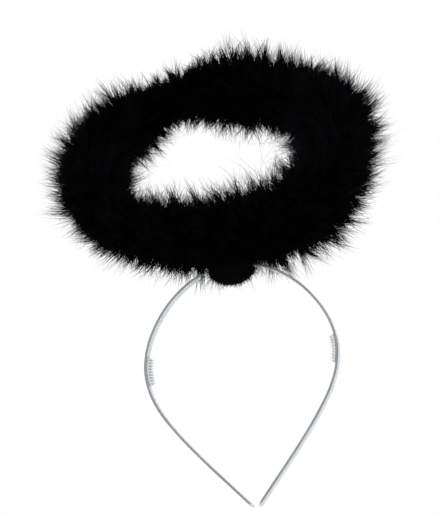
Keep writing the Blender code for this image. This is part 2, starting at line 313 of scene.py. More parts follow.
@dataclass(frozen=True)
class ThreadFinish:
    """Black wound thread with a faint twist along it, with painted shade darkening the grooves
    between its plies.
    """

    dark: Colour = (0.0005, 0.0005, 0.0009)
    light: Colour = (0.0036, 0.0033, 0.0052)
    twists: float = 260.0
    plies: float = 2.0
    fuzz: float = 0.0012
    roughness: float = 0.75
    rough_spread: float = 0.2
    shine: float = 0.05
    depth: float = 0.00015

    def material(self, name: str) -> bpy.types.Material:
        """Makes the material. Its map runs round the thread across and along it upwards."""
        surface = Surface(name)
        across, along = surface.finish_map()
        phase = (across + along * self.twists) * (2.0 * math.pi)
        ply_height_and_shade = (phase * self.plies).sine() * 0.5 + 0.5
        fuzz = surface.noise(self.fuzz)
        return surface.dress(
            # Painted shade: the colour follows the plies' height, darker in the grooves between
            # them, with a random fuzz tone
            Base_Color=surface.mixed(ply_height_and_shade * fuzz, self.dark, self.light),
            Roughness=self.roughness + fuzz * self.rough_spread,
            Specular_IOR_Level=self.shine,
            Normal=surface.bump(ply_height_and_shade, self.depth),
        )


@dataclass(frozen=True)
class ClearPlasticFinish:
    """Clear, slightly smoky plastic, faintly blue and green, with painted shade along its long edges
    for the dark edges that clear plastic shows.
    """

    blue: Colour = (0.72, 0.75, 0.81)
    green: Colour = (0.71, 0.77, 0.74)
    # Painted shade: the darker colour the long edges take, standing in for what refraction and
    # reflection darken there
    edge_shade: Colour = (0.22, 0.23, 0.25)
    half_width: float = 0.00325
    edge_shade_from: float = 0.84
    edge_shade_least: float = 0.75
    edge_shade_spread: float = 0.3
    tint: float = 0.030
    tint_band: tuple[float, float] = (0.38, 0.62)
    streak: float = 0.012
    roughness: float = 0.20
    rough_spread: float = 0.08
    clearness: float = 0.20
    bend_of_light: float = 1.49
    depth: float = 0.00005

    def material(self, name: str) -> bpy.types.Material:
        """Makes the material."""
        surface = Surface(name)
        across = abs(surface.split(surface.place())[1]) / self.half_width
        streak = surface.noise(self.streak, detail=2.0)
        tint = surface.noise(self.tint, detail=1.0).ramp(*self.tint_band)
        # Painted shade: the colour darkens towards the long edges, streaked
        edge_shade = across.ramp(self.edge_shade_from, 1.0) * (self.edge_shade_least + streak * self.edge_shade_spread)
        face = surface.mixed(tint, self.blue, self.green)
        return surface.dress(
            Base_Color=surface.mixed(edge_shade, face, self.edge_shade),
            Roughness=self.roughness + streak * self.rough_spread,
            Transmission_Weight=self.clearness,
            IOR=self.bend_of_light,
            Normal=surface.bump(streak, self.depth),
        )


@dataclass(frozen=True)
class CombPlasticFinish:
    """Milky, cloudy plastic, with painted shade that darkens the base and the ribs' roots and leaves
    their tops paler.
    """

    # The darker colour is painted shade at the base and the ribs' roots; the paler one is for their
    # tops
    root: Colour = (0.72, 0.73, 0.75)
    top: Colour = (0.88, 0.89, 0.91)
    rib_shade_band: tuple[float, float] = (0.1, 0.9)
    cloud: float = 0.0025
    cloud_least: float = 0.6
    cloud_spread: float = 0.6
    cover: float = 0.72
    roughness: float = 0.38
    rough_spread: float = 0.14
    bend_of_light: float = 1.49
    depth: float = 0.00006

    def material(self, name: str) -> bpy.types.Material:
        """Makes the material. Its map runs up the ribs from 0 at the base."""
        surface = Surface(name)
        cloud = surface.noise(self.cloud)
        # Painted shade: darker at the ribs' roots by the base, paler up to their tops
        rise = surface.finish_map()[1].ramp(*self.rib_shade_band)
        share = rise * (self.cloud_least + cloud * self.cloud_spread)
        return surface.dress(
            Base_Color=surface.mixed(share, self.root, self.top),
            Roughness=self.roughness + cloud * self.rough_spread,
            Alpha=self.cover,
            IOR=self.bend_of_light,
            Normal=surface.bump(cloud, self.depth),
        )


@dataclass(frozen=True)
class SteelFinish:
    """Drawn steel wire, dulled in patches."""

    bright: Colour = (0.46, 0.46, 0.48)
    dull: Colour = (0.20, 0.19, 0.19)
    patch: float = 0.004
    draws_in_patch: float = 12.0
    roughness: float = 0.25
    rough_spread: float = 0.25
    depth: float = 0.00005

    def material(self, name: str) -> bpy.types.Material:
        """Makes the material."""
        surface = Surface(name)
        patch = surface.noise(self.patch)
        draw = surface.noise(self.patch / self.draws_in_patch, detail=1.0)
        return surface.dress(
            Base_Color=surface.mixed(patch, self.bright, self.dull),
            Metallic=1.0,
            Roughness=self.roughness + patch * self.rough_spread,
            Normal=surface.bump(draw, self.depth),
        )


@dataclass(frozen=True)
class FloorFinish:
    """A plain pale floor."""

    pale: Colour = (0.90, 0.90, 0.90)
    paler: Colour = (0.93, 0.93, 0.93)
    cloud: float = 0.4
    roughness: float = 0.9

    def material(self, name: str) -> bpy.types.Material:
        """Makes the material."""
        surface = Surface(name)
        colour = surface.mixed(surface.noise(self.cloud), self.pale, self.paler)
        return surface.dress(Base_Color=colour, Roughness=self.roughness)


def placed(name: str, data: Any) -> bpy.types.Object:
    """Makes an object from its data and links it to the scene."""
    made = bpy.data.objects.new(name, data)
    bpy.context.scene.collection.objects.link(made)
    return made


def mesh_piece(
    name: str, points: np.ndarray, faces: list, material: bpy.types.Material | None = None
) -> bpy.types.Object:
    """Makes a smooth-shaded mesh object at the origin.

    Args:
        name: The piece's name.
        points: Its points, one row each.
        faces: Its faces, as rows of point numbers.
        material: Its material, if it has one yet.

    Returns:
        The object, linked to the scene.
    """
    mesh = bpy.data.meshes.new(name)
    if faces and enclosed(points, faces) < 0:
        faces = [tuple(reversed(face)) for face in faces]
    mesh.from_pydata([tuple(p) for p in points], [], [tuple(f) for f in faces])
    mesh.shade_smooth()
    made = placed(name, mesh)
    if material:
        mesh.materials.append(material)
    return made


def enclosed(points: np.ndarray, faces: list) -> float:
    """The volume inside some faces in cubic metres, less than 0 where they point inwards."""
    places = np.asarray(points, float)
    fans = np.array([(f[0], a, b) for f in faces for a, b in zip(f[1:], f[2:])])
    first, second, third = (places[fans[:, k]] for k in range(3))
    return float((first * np.cross(second, third)).sum()) / 6


def tube_faces(stations: int, sides: int, closed: bool = False) -> list[tuple]:
    """Four-sided faces between rings of points that follow one another.

    Args:
        stations: How many rings there are.
        sides: How many points each has.
        closed: Whether the last ring joins the first.

    Returns:
        The faces.
    """
    faces = []
    for i in range(stations if closed else stations - 1):
        here, there = i * sides, (i + 1) % stations * sides
        for j in range(sides):
            k = (j + 1) % sides
            faces.append((here + j, here + k, there + k, there + j))
    return faces


def rod_faces(stations: int, sides: int) -> list[tuple]:
    """The faces of a tube with a face across each of its ends."""
    last = (stations - 1) * sides
    ends = [tuple(reversed(range(sides))), tuple(range(last, last + sides))]
    return tube_faces(stations, sides) + ends


def round_rectangle(
    half_width: float, low: float, high: float, corner: float, steps: int
) -> np.ndarray:
    """Draws a rectangle with round corners.

    Args:
        half_width: Half of its width.
        low: The height of its lower side.
        high: The height of its upper side.
        corner: The corners' radius.
        steps: How many points each corner has.

    Returns:
        The points in order, a row of width and height each.
    """
    outline = []
    top, bottom = high - corner, low + corner
    for side, middle, start in ((1, top, 0), (-1, top, 90), (-1, bottom, 180), (1, bottom, 270)):
        for step in range(steps):
            a = math.radians(start + step * 90 / (steps - 1))
            across = side * (half_width - corner) + corner * math.cos(a)
            outline.append((across, middle + corner * math.sin(a)))
    return np.array(outline)


def write_map(made: bpy.types.Object, uv: list, name: str = FINISH_MAP) -> None:
    """Gives an object a map from two numbers for each face corner."""
    layer = made.data.uv_layers.new(name=name)
    layer.data.foreach_set("uv", np.array(uv, np.float32).ravel())


def map_points(made: bpy.types.Object, spots: list[tuple[float, float]]) -> None:
    """Gives an object the map that its finish reads from a spot for each point."""
    write_map(made, [spots[v] for face in made.data.polygons for v in face.vertices])


def write_layer(made: bpy.types.Object, name: str, values: np.ndarray) -> None:
    """Gives each of an object's points a number or a vector under a name."""
    kind, key = ("FLOAT", "value") if values.ndim == 1 else ("FLOAT_VECTOR", "vector")
    layer = made.data.attributes.new(name, kind, "POINT")
    layer.data.foreach_set(key, values.astype(np.float32).ravel())


def grown(made: bpy.types.Object, rule: "Rule", values: Setting, name: str) -> bpy.types.Object:
    """Runs a geometry rule on an object and keeps the result as a plain mesh.

    Args:
        made: The object that the rule starts from.
        rule: The rule.
        values: The rule's inputs by name.
        name: The new piece's name.

    Returns:
        The new object at the origin, with no modifier.
    """
    modifier = made.modifiers.new(name, "NODES")
    modifier.node_group = rule.tree
    for key, value in values.items():
        modifier[rule.identifiers[key]] = value
    bpy.context.view_layer.update()
    graph = bpy.context.evaluated_depsgraph_get()
    mesh = bpy.data.meshes.new_from_object(made.evaluated_get(graph))
    mesh.name = name
    made.modifiers.remove(modifier)
    finish = next(material for material in reversed(mesh.materials) if material)
    mesh.materials.clear()
    mesh.materials.append(finish)
    mesh.polygons.foreach_set("material_index", np.zeros(len(mesh.polygons), np.int32))
    spare = [a.name for a in mesh.attributes if not (a.is_required or a.name in KEPT_LAYERS)]
    for layer in spare:
        mesh.attributes.remove(mesh.attributes[layer])
    return placed(name, mesh)


class Rule(Bench):
    """A geometry node tree with named inputs."""

    KINDS = {
        float: "NodeSocketFloat",
        int: "NodeSocketInt",
        "object": "NodeSocketObject",
        "material": "NodeSocketMaterial",
    }

    def __init__(self, name: str, inputs: dict[str, Any]) -> None:
        """Makes the tree from its name, and each input's name and kind."""
        super().__init__(bpy.data.node_groups.new(name, "GeometryNodeTree"))
        face = self.tree.interface
        face.new_socket("Geometry", in_out="INPUT", socket_type="NodeSocketGeometry")
        self.identifiers: dict[str, str] = {}
        for key, kind in inputs.items():
            made = face.new_socket(key, in_out="INPUT", socket_type=self.KINDS[kind])
            self.identifiers[key] = made.identifier
        face.new_socket("Geometry", in_out="OUTPUT", socket_type="NodeSocketGeometry")
        self.source = self.tree.nodes.new("NodeGroupInput")

    def given(self, key: str) -> Flow:
        """One of the tree's inputs."""
        return Flow(self, self._find(self.source.outputs, key))

    def kept(
        self, geometry: Flow, name: str, kind: str, value: Any, domain: str = "POINT"
    ) -> Flow:
        """Stores a named attribute on a geometry's points, or on what domain names."""
        settings = {"data_type": kind, "domain": domain}
        values = {"Geometry": geometry, "Name": name, "Value": value}
        return self.flow("GeometryNodeStoreNamedAttribute", settings, values)

    def read(self, name: str, kind: str = "FLOAT") -> Flow:
        """Reads a named attribute."""
        settings = {"data_type": kind}
        return self.flow("GeometryNodeInputNamedAttribute", settings, {"Name": name}, "Attribute")

    def chance(self, low: Any, high: Any, seed: Any, kind: str = "FLOAT") -> Flow:
        """A random number or vector between two, the same each run."""
        values = {"Min": low, "Max": high, "Seed": seed}
        return self.flow("FunctionNodeRandomValue", {"data_type": kind}, values, "Value")

    def end(self, geometry: Flow, finish: Flow) -> None:
        """Realizes the copies, gives them their finish and closes the tree."""
        real = self.flow("GeometryNodeRealizeInstances", None, {"Geometry": geometry})
        values = {"Geometry": real, "Material": finish}
        dressed = self.flow("GeometryNodeSetMaterial", None, values)
        self.add("NodeGroupOutput", None, {"Geometry": dressed})


@dataclass
class DownRing:
    """The fluffy ring: a deep ground round the wire, and the barbs that stand on it."""

    long_radius: float = 0.084
    short_radius: float = 0.070
    turn: float = math.radians(-33.0)
    lean: float = math.radians(55.0)
    held_at: float = 0.0216
    fluff_radius: float = 0.0280
    ground_share: float = 0.47
    # Bearing in degrees, then stoutness and outward shift as shares of the radius
    shape: tuple[tuple[float, float, float], ...] = (
        (0, 1.010, 0.02), (15, 1.150, 0.15), (30, 0.985, 0.13),
        (45, 1.005, 0.12), (60, 1.000, 0.05), (75, 1.060, 0.02),
        (90, 0.985, 0.08), (105, 0.775, 0.11), (120, 0.705, 0.04),
        (135, 0.930, -0.03), (150, 1.005, 0.03), (165, 1.000, 0.07),
        (180, 0.960, 0.07), (195, 0.940, 0.09), (210, 0.830, 0.11),
        (225, 0.840, 0.15), (240, 0.865, 0.10), (255, 0.970, 0.06),
        (270, 0.960, 0.07), (285, 1.050, 0.06), (300, 1.050, 0.10),
        (315, 1.085, 0.16), (330, 1.060, 0.05), (345, 0.980, -0.03),
    )
    stations: int = 220
    rows: int = 48
    turn_step: float = 0.001
    # Higher keeps the hairs across the hole nearer the tube's inmost line
    hole_focus: int = 3
    lowest: float = field(init=False)
    centre: np.ndarray = field(init=False)

    def __post_init__(self) -> None:
        """Places the ring so that its lowest point is held over the crown."""
        rise = self.long_radius * math.sin(self.turn)
        sink = self.short_radius * math.cos(self.turn)
        self.lowest = math.atan2(-sink, -rise)
        self.centre = np.zeros(3)
        self.centre = np.array([0.0, 0.0, self.held_at]) - self.points(np.array([self.lowest]))[0]

    @property
    def back(self) -> np.ndarray:
        """The ring plane's upward direction."""
        return np.array([0.0, math.cos(self.lean), math.sin(self.lean)])

    @property
    def normal(self) -> np.ndarray:
        """The direction square to the ring's plane."""
        return np.cross([1.0, 0.0, 0.0], self.back)

    def in_plane(self, turns: np.ndarray) -> np.ndarray:
        """The oval's two coordinates in its plane at some turns."""
        long_way = self.long_radius * np.cos(turns)
        short_way = self.short_radius * np.sin(turns)
        c, s = math.cos(self.turn), math.sin(self.turn)
        return np.stack([long_way * c - short_way * s, long_way * s + short_way * c], -1)

    def points(self, turns: np.ndarray) -> np.ndarray:
        """The oval's points at some turns."""
        flat = self.in_plane(turns)
        return self.centre + flat[:, :1] * np.array([1.0, 0, 0]) + flat[:, 1:] * self.back

    def shaped(self, turns: np.ndarray, column: int) -> np.ndarray:
        """Reads a column of the shape's table smoothly at some turns.

        Args:
            turns: Places round the oval.
            column: 1 for the stoutness, 2 for the outward shift.

        Returns:
            The shares of the down's radius.
        """
        flat = self.in_plane(turns)
        bearing = np.degrees(np.arctan2(flat[:, 1], flat[:, 0])) % 360
        shares = np.array([row[column] for row in self.shape])
        count = len(shares)
        spot = bearing / 360 * count
        index = spot.astype(int)
        t = spot - index
        before, start, end, after = (shares[(index + k) % count] for k in (-1, 0, 1, 2))
        out, into = (end - before) / 2, (after - start) / 2
        return (
            start * (2 * t**3 - 3 * t**2 + 1)
            + out * (t**3 - 2 * t**2 + t)
            + end * (3 * t**2 - 2 * t**3)
            + into * (t**3 - t**2)
        )

    def ground(self, material: bpy.types.Material) -> bpy.types.Object:
        """Builds the ground: a closed tube round the wire.

        Args:
            material: Its finish.

        Returns:
            The piece, with each point's stoutness and nearness to the hole as attributes.
        """
        turns = self.lowest + np.linspace(0, 2 * math.pi, self.stations, endpoint=False)
        middle = self.points(turns)
        ahead = self.points(turns + self.turn_step) - self.points(turns - self.turn_step)
        ahead /= np.linalg.norm(ahead, axis=1, keepdims=True)
        side = np.cross(ahead, self.normal)
        share = self.shaped(turns, 1)
        middle += side * (self.shaped(turns, 2) * self.fluff_radius)[:, None]
        radius = self.fluff_radius * share * (1 - self.ground_share)
        angles = np.linspace(0, 2 * math.pi, self.rows, endpoint=False)
        spread = (
            side[:, None, :] * np.cos(angles)[None, :, None]
            + self.normal[None, None, :] * np.sin(angles)[None, :, None]
        )
        points = middle[:, None, :] + spread * radius[:, None, None]
        made = mesh_piece(
            "down_ground",
            points.reshape(-1, 3),
            tube_faces(self.stations, self.rows, closed=True),
            material,
        )
        write_layer(made, "stout", np.repeat(share, self.rows))
        to_hole = np.clip(-np.cos(angles), 0.0, 1.0) ** self.hole_focus
        write_layer(made, "inside", np.tile(to_hole, self.stations))
        return made


@dataclass
class Barb:
    """One bare barb of down, a unit long and a unit across, for the rule to stretch."""

    # The map at the foot's corners, and how far across it is at a side's corners and at the tip
    FOOT_SPOTS = ((0.0, 0.0), (1.0, 0.0), (0.5, 0.02))
    SIDE_SPOTS = (0.0, 1.0, 1.0, 0.0)
    TIP_SPOT = 0.5

    name: str
    stops: tuple[tuple[float, float], ...]
    sides: int = 3

    def build(self) -> bpy.types.Object:
        """Makes the barb as a closed, tapered rod.

        Returns:
            A helper object with its place along the barb as an attribute.
        """
        turns = [2 * math.pi * j / self.sides for j in range(self.sides)]
        rings = [
            (math.cos(a) * r / 2, math.sin(a) * r / 2, z) for z, r in self.stops for a in turns
        ]
        points = np.array([*rings, (0.0, 0.0, 1.0)])
        tip = len(rings)
        last = tip - self.sides
        faces = tube_faces(len(self.stops), self.sides)
        faces += [(last + j, last + (j + 1) % self.sides, tip) for j in range(self.sides)]
        faces.append(tuple(reversed(range(self.sides))))
        made = mesh_piece(self.name, points, faces)
        write_layer(made, "along", points[:, 2])
        uv = []
        for face in made.data.polygons:
            if all(points[v][2] == 0 for v in face.vertices):
                uv += self.FOOT_SPOTS
                continue
            for spot, vertex in enumerate(face.vertices):
                across = self.TIP_SPOT if vertex == tip else self.SIDE_SPOTS[spot]
                uv.append((across, points[vertex][2]))
        write_map(made, uv, "weft")
        return made


class BarbRule(Rule):
    """Stands barbs on a ground, gathers them into locks and curls them."""

    # The inputs that a coat's fields of the same names fill
    FROM_COAT = (
        "Length", "Spread", "Girth", "Lean", "Swirl", "Swirl size", "Lock size", "Lock pull",
        "Lock lean", "Lock spread", "Curl", "Hole side",
    )
    # Keeps a coat's count when it stands on the hole's side alone
    INSIDE_GAIN = 4.7
    # Above 1, few locks are long and many are short
    LOCK_RARITY = 2.5
    # The least and most of a barb's own girth, as shares of its coat's
    GIRTH_RANGE = (0.7, 1.2)
    # How late along a barb its lock's pull, its lock's lean and its own curl set in
    PULL_POWER, LEAN_POWER, CURL_POWER = 1.4, 1.6, 2.0
    # The size of a curl as a share of a lock's
    CURL_SHARE = 0.35
    # The map: its margin, the shares across it that weft and tone take, and the barb's length
    MARGIN, WEFT_SHARE, TONE_SHARE, LENGTH_SHARE = 0.01, 0.02, 0.96, 0.98

    def __init__(self, name: str) -> None:
        """Builds the tree."""
        kinds = {"Barb": "object", "Density": float, "Seed": int, "Finish": "material"}
        super().__init__(name, kinds | dict.fromkeys(self.FROM_COAT, float))
        self._build()

    def _build(self) -> None:
        """Adds the nodes."""
        seed = self.given("Seed")
        gathered = self.read("inside") * self.INSIDE_GAIN - 1.0
        density = self.given("Density") * (1.0 + self.given("Hole side") * gathered)
        scatter = self.add(
            "GeometryNodeDistributePointsOnFaces",
            {"distribute_method": "RANDOM"},
            {"Mesh": self.given("Geometry"), "Density": density, "Seed": seed},
        )
        roots = Flow(self, scatter.outputs["Points"])
        normal = Flow(self, scatter.outputs["Normal"])
        place = self.flow("GeometryNodeInputPosition")
        rare = self.split(self._lock(place)[1])[2] ** self.LOCK_RARITY
        lock_lot = (rare * 2.0 - 1.0) * self.given("Lock spread")
        own_lot = self.chance(-1.0, 1.0, seed + 1.0) * self.given("Spread")
        reach = self.given("Length") * self.read("stout") * (1.0 + own_lot) * (1.0 + lock_lot)
        roots = self.kept(roots, "root", "FLOAT_VECTOR", place)
        roots = self.kept(roots, "outward", "FLOAT_VECTOR", normal)
        roots = self.kept(roots, "reach", "FLOAT", reach)
        roots = self.kept(roots, "tone", "FLOAT", self.chance(0.0, 1.0, seed + 2.0))

        swirl = self._field(place, 1.0 / self.given("Swirl size"))
        jitter = self.chance((-1.0,) * 3, (1.0,) * 3, seed + 3.0, "FLOAT_VECTOR")
        way = self.vector("ADD", normal, self.scaled(swirl, self.given("Swirl")))
        way = self.vector("ADD", way, self.scaled(jitter, self.given("Lean")))
        turned = self.flow("FunctionNodeAlignRotationToVector", {"axis": "Z"}, {"Vector": way})
        girth = self.given("Girth") * self.chance(*self.GIRTH_RANGE, seed + 4.0)
        values = {"X": girth, "Y": girth, "Z": self.read("reach")}
        size = self.flow("ShaderNodeCombineXYZ", None, values)
        values = {"Object": self.given("Barb")}
        shape = self.flow("GeometryNodeObjectInfo", None, values, "Geometry")
        stood = self.flow(
            "GeometryNodeInstanceOnPoints",
            None,
            {"Points": roots, "Instance": shape, "Rotation": turned, "Scale": size},
        )
        real = self.flow("GeometryNodeRealizeInstances", None, {"Geometry": stood})
        values = {"Geometry": real, "Offset": self._bend()}
        moved = self.flow("GeometryNodeSetPosition", None, values)
        self.end(self._mapped(moved), self.given("Finish"))

    def _field(self, place: Flow, scale: Any) -> Flow:
        """A smooth field of vectors between -1 and 1."""
        values = {"Vector": place, "Scale": scale, "Detail": 1.0}
        return self._centred(self.flow("ShaderNodeTexNoise", None, values, "Color"))

    def _centred(self, colour: Flow) -> Flow:
        """A colour as a vector, moved from 0 to 1 to between -1 and 1."""
        return self.scaled(self.vector("SUBTRACT", colour, (0.5,) * 3), 2.0)

    def _lock(self, place: Flow) -> tuple[Flow, Flow]:
        """The middle of the lock that a root belongs to, and the lock's own random colour."""
        cell = self.add(
            "ShaderNodeTexVoronoi",
            {"feature": "F1", "voronoi_dimensions": "3D"},
            {"Vector": place, "Scale": 1.0 / self.given("Lock size")},
        )
        return Flow(self, cell.outputs["Position"]), Flow(self, cell.outputs["Color"])

    def _bend(self) -> Flow:
        """How far a point of a barb moves: towards its lock's middle, and along its curl."""
        along = self.read("along")
        root = self.read("root", "FLOAT_VECTOR")
        outward = self.read("outward", "FLOAT_VECTOR")
        reach = self.read("reach")
        middle, lot = self._lock(root)
        to_middle = self.vector("SUBTRACT", middle, root)
        pull = self.scaled(to_middle, self.given("Lock pull") * along**self.PULL_POWER)
        lean = self.given("Lock lean") * reach * along**self.LEAN_POWER
        tilt = self.scaled(self._centred(lot), lean)
        curl = self._field(root, 1.0 / (self.given("Lock size") * self.CURL_SHARE))
        curl = self.scaled(curl, self.given("Curl") * reach * along**self.CURL_POWER)
        return self._sideways(self.vector("ADD", self.vector("ADD", pull, tilt), curl), outward)

    def _sideways(self, vector: Flow, outward: Flow) -> Flow:
        """What is left of a vector when its part along outward is taken away."""
        straight = self.vector("DOT_PRODUCT", vector, outward, "Value")
        return self.vector("SUBTRACT", vector, self.scaled(outward, straight))

    def _mapped(self, geometry: Flow) -> Flow:
        """Lays the finish's map: the barb's tone across, its length upwards."""
        weft = self.split(self.read("weft", "FLOAT_VECTOR"))
        tone = self.read("tone") * self.TONE_SHARE
        across = weft[0] * self.WEFT_SHARE + tone + self.MARGIN
        up = weft[1] * self.LENGTH_SHARE + self.MARGIN
        spot = self.flow("ShaderNodeCombineXYZ", None, {"X": across, "Y": up})
        return self.kept(geometry, FINISH_MAP, "FLOAT2", spot, "CORNER")


@dataclass(frozen=True)
class Coat:
    """One layer of barbs on a ground, on the ring or on the knot."""

    name: str
    barbs: int
    seed: int
    length: float
    spread: float
    girth: float
    lean: float
    lock_pull: float
    swirl: float = 0.6
    swirl_size: float = 0.022
    lock_size: float = 0.0032
    lock_lean: float = 0.30
    lock_spread: float = 0.25
    curl: float = 0.25
    hole_side: float = 0.0
    kind: BarbKind = BarbKind.STRAIGHT


@dataclass
class Knot:
    """The wound lump that ties the stem's foot to the crown."""

    half_length: float = 0.0145
    half_depth: float = 0.0105
    half_height: float = 0.0115
    middle: float = 0.0008
    # How far along the lump the core and the thread go, as shares of its half length
    core_reach: float = 0.97
    thread_reach: float = 0.93
    # Degrees between the core's rings
    core_step: int = 9
    # Nearer 1, the turns lie closer at the lump's ends
    sweep: float = 0.9
    thread: float = 0.00055
    flatness: float = 0.6
    turns: int = 26
    steps: int = 40
    sides: int = 6

    def envelope(self, x: float, inset: float) -> tuple[float, float]:
        """The lump's half depth and half height at a distance along the strap."""
        share = math.sqrt(max(0.0, 1.0 - (x / self.half_length) ** 2))
        return (self.half_depth - inset) * share, (self.half_height - inset) * share

    def core(self, material: bpy.types.Material) -> bpy.types.Object:
        """Builds the lump under the thread."""
        turns = [math.radians(a) for a in range(-90, 91, self.core_step)]
        xs = [self.half_length * self.core_reach * math.sin(a) for a in turns]
        points = []
        for x in xs:
            deep, high = self.envelope(x, self.thread)
            for j in range(self.steps):
                a = 2 * math.pi * j / self.steps
                points.append((x, deep * math.cos(a), self.middle + high * math.sin(a)))
        faces = rod_faces(len(xs), self.steps)
        made = mesh_piece("knot_core", np.array(points), faces, material)
        write_layer(made, "stout", np.ones(len(points)))
        return made

    def winding(self, material: bpy.types.Material) -> bpy.types.Object:
        """Builds the thread: one tube wound round the lump from end to end."""
        count = self.turns * self.steps
        line = []
        end = math.sin(self.sweep / 2 * math.pi)
        for i in range(count + 1):
            share = i / count
            sway = math.sin((share - 0.5) * math.pi * self.sweep)
            x = self.half_length * self.thread_reach * sway / end
            deep, high = self.envelope(x, self.thread * self.flatness)
            a = 2 * math.pi * self.turns * share
            line.append((x, deep * math.cos(a), self.middle + high * math.sin(a)))
        middle = np.array(line)
        ahead = np.gradient(middle, axis=0)
        ahead /= np.linalg.norm(ahead, axis=1, keepdims=True)
        out = middle - np.array([0.0, 0.0, self.middle])
        out[:, 0] = 0.0
        out -= ahead * (out * ahead).sum(1, keepdims=True)
        out /= np.linalg.norm(out, axis=1, keepdims=True)
        side = np.cross(ahead, out)
        angles = np.linspace(0, 2 * math.pi, self.sides, endpoint=False)
        rings = (
            middle[:, None, :]
            + out[:, None, :] * np.cos(angles)[None, :, None] * self.thread * self.flatness
            + side[:, None, :] * np.sin(angles)[None, :, None] * self.thread
        )
        faces = rod_faces(count + 1, self.sides)
        made = mesh_piece("knot_thread", rings.reshape(-1, 3), faces, material)
        uv = []
        for i in range(count):
            for j in range(self.sides):
                left, right = j / self.sides, (j + 1) / self.sides
                low, high = i / count, (i + 1) / count
                uv += [(left, low), (right, low), (right, high), (left, high)]
        for _ in range(2):
            uv += [(0.5 + 0.5 * math.cos(a), 0.5 + 0.5 * math.sin(a)) for a in angles]
        write_map(made, uv)
        return made


@dataclass
class Strap:
    """The springy clear strap, bent into a teardrop, with round ends that almost meet."""

    span: float = 0.1205
    drop: float = 0.149
    width: float = 0.0065
    thickness: float = 0.0016
    edge_round: float = 0.0005
    tip_gap: float = 0.0020
    line: tuple[tuple[float, float], ...] = (
        (0.000, 0.000),
        (0.365, 0.030),
        (0.670, 0.115),
        (0.890, 0.235),
        (0.990, 0.355),
        (0.980, 0.460),
        (0.890, 0.560),
        (0.715, 0.670),
        (0.480, 0.790),
        (0.245, 0.900),
    )
    stations: int = 260
    # Points from one of the line's to the next, and degrees between a round end's
    between: int = 24
    tip_step: int = 9
    # The end's least width as a share, and how much later than its width it thins
    tip_least: float = 0.12
    tip_thinning: float = 1.6
    corner_steps: int = 5
    heading_step: float = 0.001
    route: np.ndarray = field(init=False)
    at: np.ndarray = field(init=False)
    length: float = field(init=False)

    def __post_init__(self) -> None:
        """Works out the middle line."""
        half_span = (self.span - self.thickness) / 2
        crown = self.thickness / 2
        drop = self.drop - crown
        side = [Vector((x * half_span, 0, crown - z * drop)) for x, z in self.line]
        side.append(Vector(((self.tip_gap + self.thickness) / 2, 0, crown - drop)))
        knots = [Vector((-p.x, 0, p.z)) for p in reversed(side[1:])] + side
        padded = [knots[0] * 2 - knots[1], *knots, knots[-1] * 2 - knots[-2]]
        route = [knots[0]]
        for before, start, end, after in zip(padded, padded[1:], padded[2:], padded[3:]):
            near, far = start + (end - before) / 6, end - (after - start) / 6
            route += interpolate_bezier(start, near, far, end, self.between)[1:]
        self.route = np.array([tuple(p) for p in route])
        steps = np.linalg.norm(np.diff(self.route, axis=0), axis=1)
        self.at = np.concatenate([[0.0], np.cumsum(steps)])
        self.length = float(self.at[-1])

    def spot(self, distance: np.ndarray | float) -> np.ndarray:
        """Points on the middle line at distances from its start."""
        far = np.clip(np.atleast_1d(distance), 0, self.length)
        return np.stack([np.interp(far, self.at, self.route[:, i]) for i in range(3)], -1)

    def heading(self, distance: np.ndarray | float) -> np.ndarray:
        """Unit directions of the middle line at distances from its start."""
        far = np.atleast_1d(distance)
        ahead = self.spot(far + self.heading_step) - self.spot(far - self.heading_step)
        return ahead / np.linalg.norm(ahead, axis=1, keepdims=True)

    def build(self, material: bpy.types.Material) -> bpy.types.Object:
        """Builds the strap with finely rounded edges and ends."""
        end = self.width / 2
        tip = [end * (1 - math.cos(math.radians(a))) for a in range(0, 91, self.tip_step)]
        middle = np.linspace(end, self.length - end, self.stations)[1:-1]
        stops = np.array([*tip, *middle, *(self.length - d for d in reversed(tip))])
        from_tip = np.minimum(stops, self.length - stops)
        left = 1 - np.minimum(from_tip / end, 1.0)
        share = np.maximum(self.tip_least, np.sqrt(1 - left * left))
        centre, along = self.spot(stops), self.heading(stops)
        outward = np.cross(along, [0.0, 1.0, 0.0])
        half_deep = self.thickness / 2
        section = round_rectangle(end, -half_deep, half_deep, self.edge_round, self.corner_steps)
        across = section[:, 0][None, :] * share[:, None]
        deep = section[:, 1][None, :] * np.minimum(1.0, share * self.tip_thinning)[:, None]
        points = (
            centre[:, None, :]
            + across[:, :, None] * np.array([0.0, 1.0, 0.0])
            + deep[:, :, None] * outward[:, None, :]
        )
        faces = rod_faces(len(stops), len(section))
        return mesh_piece("strap", points.reshape(-1, 3), faces, material)


class RibRule(Rule):
    """Stands a rib on each point of a comb's row."""

    def __init__(self, name: str) -> None:
        """Builds the tree."""
        super().__init__(name, {"Rib": "object", "Finish": "material"})
        rib = self.flow("GeometryNodeObjectInfo", None, {"Object": self.given("Rib")}, "Geometry")
        spot = self.read(FINISH_MAP, "FLOAT_VECTOR")
        mapped = self.kept(rib, FINISH_MAP, "FLOAT2", spot, "CORNER")
        upright = self.flow(
            "FunctionNodeAlignRotationToVector",
            {"axis": "Z"},
            {"Vector": self.read("inward", "FLOAT_VECTOR")},
        )
        turned = self.flow(
            "FunctionNodeAlignRotationToVector",
            {"axis": "Y", "pivot_axis": "Z"},
            {"Rotation": upright, "Vector": (0.0, 1.0, 0.0)},
        )
        values = {"Points": self.given("Geometry"), "Instance": mapped, "Rotation": turned}
        stood = self.flow("GeometryNodeInstanceOnPoints", None, values)
        self.end(stood, self.given("Finish"))


